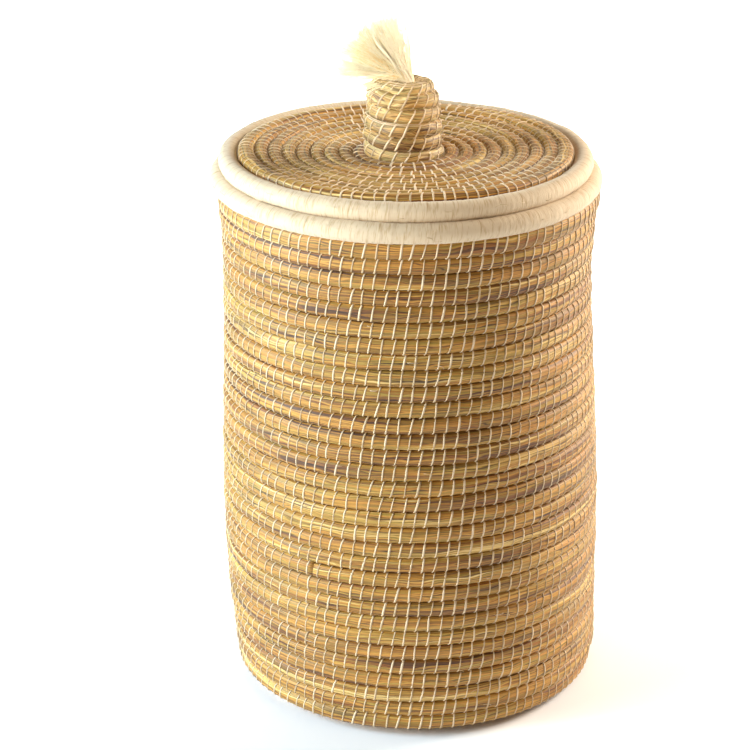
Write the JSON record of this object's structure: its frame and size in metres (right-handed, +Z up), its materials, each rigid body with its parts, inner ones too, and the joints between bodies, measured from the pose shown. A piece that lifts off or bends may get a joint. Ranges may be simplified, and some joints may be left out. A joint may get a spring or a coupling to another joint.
{
  "type": "coiled laundry basket with lid",
  "caption": "Tall round laundry basket of coiled grass bundles, with wrapped rolls at the mouth, a lift-off lid, a hollow coiled knob and a fibre tassel.",
  "frame": {"origin": "middle of the base, on the floor", "axes": "+Z up along the basket's axis, -Y towards the viewer of the picture, +X to the right"},
  "size_m": [0.3913, 0.3914, 0.694],
  "materials": {
    "grass": "dry grass stalks",
    "raw_fibre": "flat raw fibre",
    "tassel_fibre": "loose raw fibre"
  },
  "bodies": {
    "basket": {"base_coil": "grass", "wall_coil_lower": "grass", "wall_coil_middle": "grass", "wall_coil_upper": "grass", "rim_core": "grass", "rim_wrap": "raw_fibre"},
    "lid": {"lid_coil": "grass", "knob_coil": "grass", "lid_rim_core": "grass", "lid_rim_wrap": "raw_fibre", "tassel_knot": "tassel_fibre"},
    "tassel": {"tassel_tuft": "tassel_fibre"}
  },
  "joints": [
    {"name": "lid_lift", "type": "slide", "parent": "basket", "child": "lid", "axis": [0, 0, 1], "range_m": [0, 0.3]},
    {"name": "tassel_swing", "type": "hinge", "parent": "lid", "child": "tassel", "pos_m": [-0.00133, 0, 0.63599], "axis": [0, 1, 0], "range_deg": [0, 80]}
  ]
}
